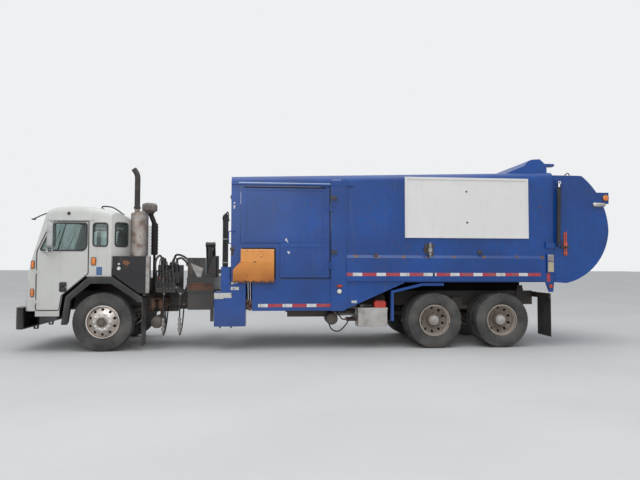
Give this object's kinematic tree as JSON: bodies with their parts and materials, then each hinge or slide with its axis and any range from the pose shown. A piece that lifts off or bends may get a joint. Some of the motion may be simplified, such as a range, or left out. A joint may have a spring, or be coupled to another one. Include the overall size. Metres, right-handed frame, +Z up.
{
  "type": "garbage truck",
  "caption": "Three-axle side-loading refuse truck with a tilting hollow body, hinged rear gate, sliding lift arm with gripper, opening doors and steered front wheels.",
  "frame": {"origin": "on the ground, under the middle of the bounding box", "axes": "-X is the front of the truck, +Y its right (loading) side, +Z up"},
  "size_m": [11.18, 3.04, 3.6698],
  "materials": {
    "frame_black": "satin, worn and dusty",
    "cab_white": "gloss, road dirt low down",
    "body_blue": "gloss, faded on top",
    "glass": "clear, tinted",
    "tyre": "matte, dusty",
    "wheel_aluminium": "brushed",
    "wheel_steel": "dirty grey paint",
    "black_rubber": "matte",
    "exhaust_steel": "weathered",
    "axle_iron": "greasy",
    "orange": "satin",
    "panel_white": "satin",
    "seat_cloth": "woven",
    "dash_plastic": "grained",
    "rod_chrome": "polished",
    "plain_aluminium": "satin",
    "arm_black": "satin, worn",
    "mirror_plastic": "satin"
  },
  "bodies": {
    "truck": {"chassis_frame": "frame_black", "crossmembers": "frame_black", "front_axle": "axle_iron", "leaf_springs": "axle_iron", "drive_axles": "axle_iron", "engine": "axle_iron", "drive_shafts": "axle_iron", "bumper": "frame_black", "cab_shell": "cab_white", "cab_glass": "glass", "seats": "seat_cloth", "dashboard": "dash_plastic", "cab_steps": "frame_black", "front_fenders": "black_rubber", "rear_fenders": "body_blue", "mudflaps": "black_rubber", "battery_box": "frame_black", "exhaust": "exhaust_steel", "air_cleaner": "frame_black", "hydraulic_tank": "frame_black", "step_box": "body_blue", "side_box": "plain_aluminium", "fuel_tank": "plain_aluminium", "air_tanks": "frame_black", "arm_base": "arm_black"},
    "steering_knuckle_left": {"knuckle_left": "axle_iron"},
    "front_wheel_left_body": {"front_wheel_left": "wheel_aluminium", "front_tyre_left": "tyre"},
    "rear_wheels_left_1": {"dual_wheels_left_1": "wheel_steel", "dual_tyres_left_1": "tyre"},
    "rear_wheels_left_2": {"dual_wheels_left_2": "wheel_steel", "dual_tyres_left_2": "tyre"},
    "cab_door_left": {"door_left": "cab_white", "door_glass_left": "glass", "mirror_left": "mirror_plastic"},
    "steering_knuckle_right": {"knuckle_right": "axle_iron"},
    "front_wheel_right_body": {"front_wheel_right": "wheel_aluminium", "front_tyre_right": "tyre"},
    "rear_wheels_right_1": {"dual_wheels_right_1": "wheel_steel", "dual_tyres_right_1": "tyre"},
    "rear_wheels_right_2": {"dual_wheels_right_2": "wheel_steel", "dual_tyres_right_2": "tyre"},
    "cab_door_right": {"door_right": "cab_white", "door_glass_right": "glass", "mirror_right": "mirror_plastic"},
    "refuse_body": {"body_shell": "body_blue", "body_skirts": "body_blue", "sign_panel": "panel_white", "orange_cover": "orange"},
    "service_door": {"hopper_door": "body_blue"},
    "packing_blade": {"packer": "body_blue"},
    "rear_gate": {"tailgate": "body_blue"},
    "gate_barrels": {"gate_ram_barrels": "frame_black"},
    "gate_rods": {"gate_ram_rods": "rod_chrome"},
    "hoist_cylinder": {"hoist_barrel": "frame_black"},
    "hoist_piston": {"hoist_rod": "rod_chrome"},
    "sliding_carriage": {"arm_carriage": "arm_black"},
    "lifting_arm": {"lift_arm": "arm_black"},
    "front_finger": {"finger_front": "arm_black"},
    "rear_finger": {"finger_rear": "arm_black"}
  },
  "joints": [
    {"name": "steer_left", "type": "hinge", "parent": "truck", "child": "steering_knuckle_left", "pos_m": [-4.06, -0.88, 0.53], "axis": [0, 0, 1], "range_deg": [-35, 35]},
    {"name": "steer_right", "type": "hinge", "parent": "truck", "child": "steering_knuckle_right", "pos_m": [-4.06, 0.88, 0.53], "axis": [0, 0, 1], "range_deg": [-35, 35]},
    {"name": "front_wheel_left_spin", "type": "hinge", "parent": "steering_knuckle_left", "child": "front_wheel_left_body", "pos_m": [-4.06, -1.03, 0.53], "axis": [0, 1, 0], "continuous": true},
    {"name": "rear_wheels_left_1_spin", "type": "hinge", "parent": "truck", "child": "rear_wheels_left_1", "pos_m": [2.07, -0.91, 0.523], "axis": [0, 1, 0], "continuous": true},
    {"name": "rear_wheels_left_2_spin", "type": "hinge", "parent": "truck", "child": "rear_wheels_left_2", "pos_m": [3.391, -0.91, 0.523], "axis": [0, 1, 0], "continuous": true},
    {"name": "cab_door_left_hinge", "type": "hinge", "parent": "truck", "child": "cab_door_left", "pos_m": [-5.223, -1.194, 1.165], "axis": [0, 0, -1], "range_deg": [0, 65]},
    {"name": "front_wheel_right_spin", "type": "hinge", "parent": "steering_knuckle_right", "child": "front_wheel_right_body", "pos_m": [-4.06, 1.03, 0.53], "axis": [0, 1, 0], "continuous": true},
    {"name": "rear_wheels_right_1_spin", "type": "hinge", "parent": "truck", "child": "rear_wheels_right_1", "pos_m": [2.07, 0.91, 0.523], "axis": [0, 1, 0], "continuous": true},
    {"name": "rear_wheels_right_2_spin", "type": "hinge", "parent": "truck", "child": "rear_wheels_right_2", "pos_m": [3.391, 0.91, 0.523], "axis": [0, 1, 0], "continuous": true},
    {"name": "cab_door_right_hinge", "type": "hinge", "parent": "truck", "child": "cab_door_right", "pos_m": [-5.223, 1.194, 1.165], "axis": [0, 0, 1], "range_deg": [0, 65]},
    {"name": "body_tilt", "type": "hinge", "parent": "truck", "child": "refuse_body", "pos_m": [4.09, 0, 1.108], "axis": [0, 1, 0], "range_deg": [0, 40]},
    {"name": "service_door_hinge", "type": "hinge", "parent": "refuse_body", "child": "service_door", "pos_m": [0.06, -1.218, 2.1], "axis": [0, 0, 1], "range_deg": [0, 100]},
    {"name": "packer_stroke", "type": "slide", "parent": "refuse_body", "child": "packing_blade", "axis": [1, 0, 0], "range_m": [0, 1.3]},
    {"name": "tailgate_hinge", "type": "hinge", "parent": "refuse_body", "child": "rear_gate", "pos_m": [4.445, 0, 3.454], "axis": [0, -1, 0], "range_deg": [0, 80]},
    {"name": "hoist_barrel_pivot", "type": "hinge", "parent": "truck", "child": "hoist_cylinder", "pos_m": [1.14, 0, 0.85], "axis": [0, 1, 0], "range_deg": [0, 66.13]},
    {"name": "hoist_rod_stroke", "type": "slide", "parent": "hoist_cylinder", "child": "hoist_piston", "axis": [-0.9929, 0, 0.1191], "range_m": [0, 1.4651]},
    {"name": "gate_barrels_pivot", "type": "hinge", "parent": "refuse_body", "child": "gate_barrels", "pos_m": [4.5, 0, 1.97], "axis": [0, 1, 0], "range_deg": [0, 7.67]},
    {"name": "gate_rods_stroke", "type": "slide", "parent": "gate_barrels", "child": "gate_rods", "axis": [0.0248, 0, 0.9997], "range_m": [0, 0.332]},
    {"name": "arm_reach", "type": "slide", "parent": "truck", "child": "sliding_carriage", "axis": [0, 1, 0], "range_m": [0, 1.25]},
    {"name": "arm_lift", "type": "hinge", "parent": "sliding_carriage", "child": "lifting_arm", "pos_m": [-2.36, 0.945, 2], "axis": [1, 0, 0], "range_deg": [0, 150]},
    {"name": "front_finger_close", "type": "hinge", "parent": "lifting_arm", "child": "front_finger", "pos_m": [-1.71, 1.39, 0.915], "axis": [0, 0, -1], "range_deg": [0, 95]},
    {"name": "rear_finger_close", "type": "hinge", "parent": "lifting_arm", "child": "rear_finger", "pos_m": [-1.21, 1.39, 0.915], "axis": [0, 0, 1], "range_deg": [0, 95]}
  ],
  "couplings": [
    {"joint": "steer_right", "follows": "steer_left", "ratio": 1},
    {"joint": "rear_finger_close", "follows": "front_finger_close", "ratio": 1},
    {"joint": "hoist_barrel_pivot", "follows": "body_tilt", "ratio": 1.6408},
    {"joint": "hoist_rod_stroke", "follows": "body_tilt", "m_per_rad": 2.0914},
    {"joint": "gate_barrels_pivot", "follows": "tailgate_hinge", "ratio": 0.08961},
    {"joint": "gate_rods_stroke", "follows": "tailgate_hinge", "m_per_rad": 0.2342}
  ]
}
